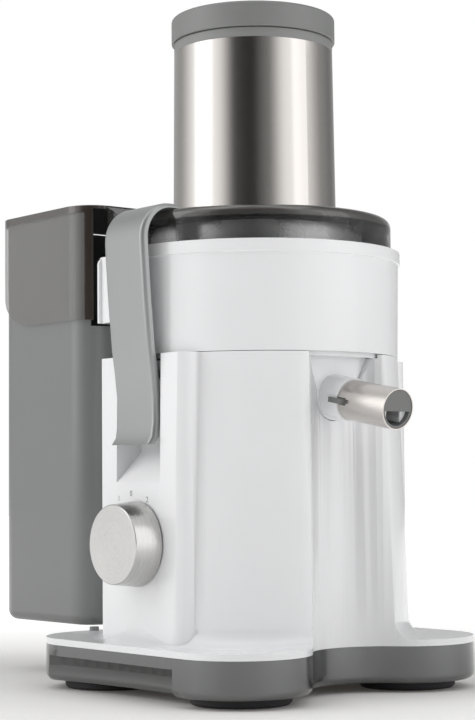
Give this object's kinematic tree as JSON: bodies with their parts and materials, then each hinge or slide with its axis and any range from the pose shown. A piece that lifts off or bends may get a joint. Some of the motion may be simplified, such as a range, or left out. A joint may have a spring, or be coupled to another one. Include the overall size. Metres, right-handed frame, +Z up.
{
  "type": "centrifugal juicer",
  "caption": "Centrifugal juicer with a white body on a lobed base, hook latches, a wide steel feed tube, a turning anti-drip spout and a side pulp container.",
  "frame": {"origin": "centre of the object's footprint on the worktop, under the feet", "axes": "+Z up, spout points +X, pulp container at -X, control knob faces -Y"},
  "size_m": [0.3166, 0.2013, 0.3853],
  "materials": {
    "gloss_white": "smooth gloss white moulding",
    "tray_grey": "satin metallic grey moulding",
    "soft_rubber": "matt",
    "screw_steel": "zinc plated",
    "peg_grey": "fine texture",
    "knob_aluminium": "turned face, brushed side",
    "dark_plastic": "fine texture",
    "shaft_steel": "ground",
    "switch_cream": "fine texture",
    "latch_satin": "satin silver grey",
    "spring_steel": "drawn wire",
    "plunger_grey": "fine texture",
    "black_plastic": "fine texture",
    "seal_silicone": "matt silicone",
    "smoke_clear": "smoky clear plastic",
    "tube_steel": "fine upright brushing",
    "ring_grey": "fine texture",
    "cap_grey": "fine texture",
    "pusher_clear": "smooth",
    "filter_steel": "etched mesh",
    "disc_steel": "stamped",
    "copper": "enamelled copper wire",
    "lamination": "stacked steel sheets",
    "bearing_chrome": "polished",
    "bracket_aluminium": "die cast",
    "brass": "satin",
    "spout_steel": "satin",
    "bin_grey": "satin mid grey moulding",
    "board_green": "solder mask"
  },
  "bodies": {
    "chassis": {"motor_housing": "gloss_white", "base_tray": "tray_grey", "foot_front_left": "soft_rubber", "foot_front_right": "soft_rubber", "foot_rear_left": "soft_rubber", "foot_rear_right": "soft_rubber", "tray_screws": "screw_steel", "container_pegs": "peg_grey", "rotary_switch": "switch_cream", "latch_pin_front": "shaft_steel", "latch_pin_rear": "shaft_steel", "latch_spring_front": "spring_steel", "latch_spring_rear": "spring_steel", "interlock_switch": "black_plastic", "bowl": "gloss_white", "juice_cup": "gloss_white", "spout_housing": "gloss_white", "bowl_seal": "seal_silicone", "lid": "smoke_clear", "feed_chute": "smoke_clear", "tube_sleeve": "tube_steel", "tube_rim": "ring_grey", "bearing_top": "bearing_chrome", "bearing_bottom": "bearing_chrome", "stator_core": "lamination", "stator_windings": "copper", "bracket_top": "bracket_aluminium", "bracket_bottom": "bracket_aluminium", "brush_holders": "brass", "motor_bolts": "screw_steel", "shaft_seal": "soft_rubber", "control_board": "board_green", "cord_inlet": "black_plastic"},
    "pusher": {"pusher_cap": "cap_grey", "pusher_body": "pusher_clear"},
    "latch_front_arm": {"latch_front": "latch_satin"},
    "latch_rear_arm": {"latch_rear": "latch_satin"},
    "plunger": {"interlock_plunger": "plunger_grey"},
    "knob": {"knob_shell": "knob_aluminium", "knob_core": "dark_plastic", "switch_spindle": "shaft_steel"},
    "spout": {"spout_sleeve": "spout_steel", "spout_core": "dark_plastic"},
    "drive": {"filter_basket": "filter_steel", "basket_floor": "disc_steel", "basket_hub": "dark_plastic", "cutting_disc": "disc_steel", "drive_coupling": "dark_plastic", "motor_shaft": "shaft_steel", "rotor_core": "lamination", "commutator": "copper", "cooling_fan": "dark_plastic"},
    "container": {"pulp_container": "bin_grey"},
    "cover": {"container_cover": "smoke_clear"}
  },
  "joints": [
    {"name": "pusher_slide", "type": "slide", "parent": "chassis", "child": "pusher", "axis": [0, 0, 1], "range_m": [0, 0.15]},
    {"name": "latch_front_swing", "type": "hinge", "parent": "chassis", "child": "latch_front_arm", "pos_m": [0.04018, -0.078, 0.16], "axis": [1, 0, 0], "range_deg": [0, 15], "stiffness_Nm_per_rad": 0.12},
    {"name": "latch_rear_swing", "type": "hinge", "parent": "chassis", "child": "latch_rear_arm", "pos_m": [0.04018, 0.078, 0.16], "axis": [-1, 0, 0], "range_deg": [0, 15], "stiffness_Nm_per_rad": 0.12},
    {"name": "interlock_travel", "type": "slide", "parent": "chassis", "child": "plunger", "axis": [0, -1, 0], "range_m": [0, 0.0045]},
    {"name": "knob_turn", "type": "hinge", "parent": "chassis", "child": "knob", "pos_m": [0.04018, -0.0859, 0.083], "axis": [0, -1, 0], "range_deg": [-28, 28]},
    {"name": "spout_turn", "type": "hinge", "parent": "chassis", "child": "spout", "pos_m": [0.10518, 0, 0.163], "axis": [0.9839, 0, -0.1788], "range_deg": [0, 180]},
    {"name": "drive_spin", "type": "hinge", "parent": "chassis", "child": "drive", "pos_m": [0.04018, 0, 0.1], "axis": [0, 0, 1], "continuous": true},
    {"name": "container_slide", "type": "slide", "parent": "chassis", "child": "container", "axis": [-1, 0, 0], "range_m": [0, 0.12]},
    {"name": "cover_lift", "type": "slide", "parent": "container", "child": "cover", "axis": [0, 0, 1], "range_m": [0, 0.06]}
  ],
  "couplings": [
    {"joint": "interlock_travel", "follows": "latch_front_swing", "m_per_rad": 0.016}
  ]
}
